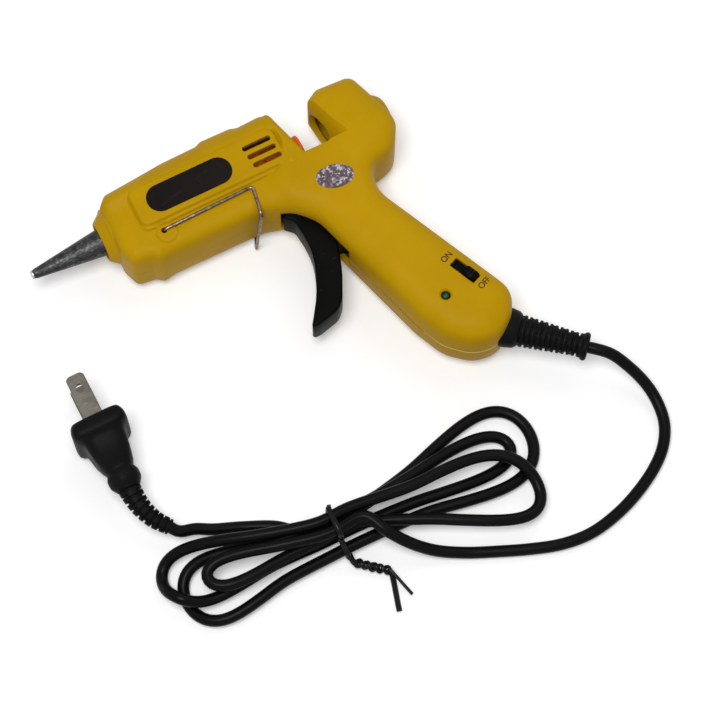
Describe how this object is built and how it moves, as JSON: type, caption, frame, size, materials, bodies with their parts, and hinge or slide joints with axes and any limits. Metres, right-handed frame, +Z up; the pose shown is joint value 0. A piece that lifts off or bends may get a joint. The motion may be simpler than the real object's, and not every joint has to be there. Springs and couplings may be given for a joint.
{
  "type": "hot glue applicator kit",
  "caption": "Small electric hot glue gun with a trigger feed, wire stand, metal nozzle, slide switch, and a tied mains cord with a flat two-blade plug.",
  "frame": {"origin": "centre of the gun's bounding box at the table, below its right side", "axes": "+X from the nozzle towards the stick entry, +Y from the handle's butt towards the barrel, +Z up from the table through the gun's left side"},
  "size_m": [0.1823, 0.1798, 0.0286],
  "materials": {
    "yellow_plastic": "moulded ABS, fine satin texture, slightly glossy",
    "black_plastic": "moulded ABS, satin",
    "steel": "zinc plated",
    "bright_wire": "nickel plated spring wire",
    "blade_metal": "nickel plated, lightly scuffed",
    "grey_casting": "cast, dull, slightly rough",
    "heater_ceramic": "unglazed",
    "orange_silicone": "smooth",
    "green_board": "coated laminate",
    "green_lens": "clear tinted lens",
    "label_film": "printed film",
    "silver_film": "metallised film",
    "black_rubber": "moulded flexible vinyl, satin",
    "cord_rubber": "smooth vinyl sheath, slightly glossy",
    "tie_film": "vinyl coated wire",
    "red_insulation": "smooth vinyl insulation"
  },
  "bodies": {
    "body": {"left_casing": "yellow_plastic", "right_casing": "yellow_plastic", "casing_screw_1": "steel", "casing_screw_2": "steel", "casing_screw_3": "steel", "casing_screw_4": "steel", "casing_screw_5": "steel", "nozzle": "grey_casting", "melt_chamber": "grey_casting", "heater_plate": "heater_ceramic", "heater_clip": "steel", "feed_sleeve": "orange_silicone", "sleeve_clamp": "steel", "trigger_pin": "steel", "return_spring": "steel", "switch_body": "black_plastic", "circuit_board": "green_board", "led_lamp": "green_lens", "name_label": "label_film", "check_sticker": "silver_film", "strain_relief": "black_rubber", "supply_wire_live": "black_rubber", "supply_wire_neutral": "red_insulation", "heater_wire_live": "black_rubber", "heater_wire_neutral": "red_insulation", "cord_lead": "cord_rubber", "cord_hank": "cord_rubber", "cord_tail": "cord_rubber", "twist_tie": "tie_film", "plug_body": "black_rubber", "plug_relief": "black_rubber", "plug_blade_upper": "blade_metal", "plug_blade_lower": "blade_metal"},
    "stand": {"stand_wire": "bright_wire"},
    "trigger": {"trigger": "black_plastic"},
    "carriage": {"feed_carriage": "black_plastic", "stick_gripper": "steel"},
    "knob": {"switch_knob": "black_plastic"}
  },
  "joints": [
    {"name": "trigger_pull", "type": "hinge", "parent": "body", "child": "trigger", "pos_m": [0.02158, 0.01185, 0.014], "axis": [0, 0, 1], "range_deg": [0, 22], "stiffness_Nm_per_rad": 0.05},
    {"name": "carriage_feed", "type": "slide", "parent": "body", "child": "carriage", "axis": [-1, 0, 0], "range_m": [0, 0.0075], "deforming": ["return_spring"]},
    {"name": "stand_fold", "type": "hinge", "parent": "body", "child": "stand", "pos_m": [-0.0332, 0.03737, 0.014], "axis": [0, 0, 1], "range_deg": [-80, 0]},
    {"name": "switch_slide", "type": "slide", "parent": "body", "child": "knob", "axis": [-0.4019, 0.9157, 0], "range_m": [0, 0.0046]}
  ],
  "couplings": [
    {"joint": "carriage_feed", "follows": "trigger_pull", "m_per_rad": 0.01945}
  ]
}
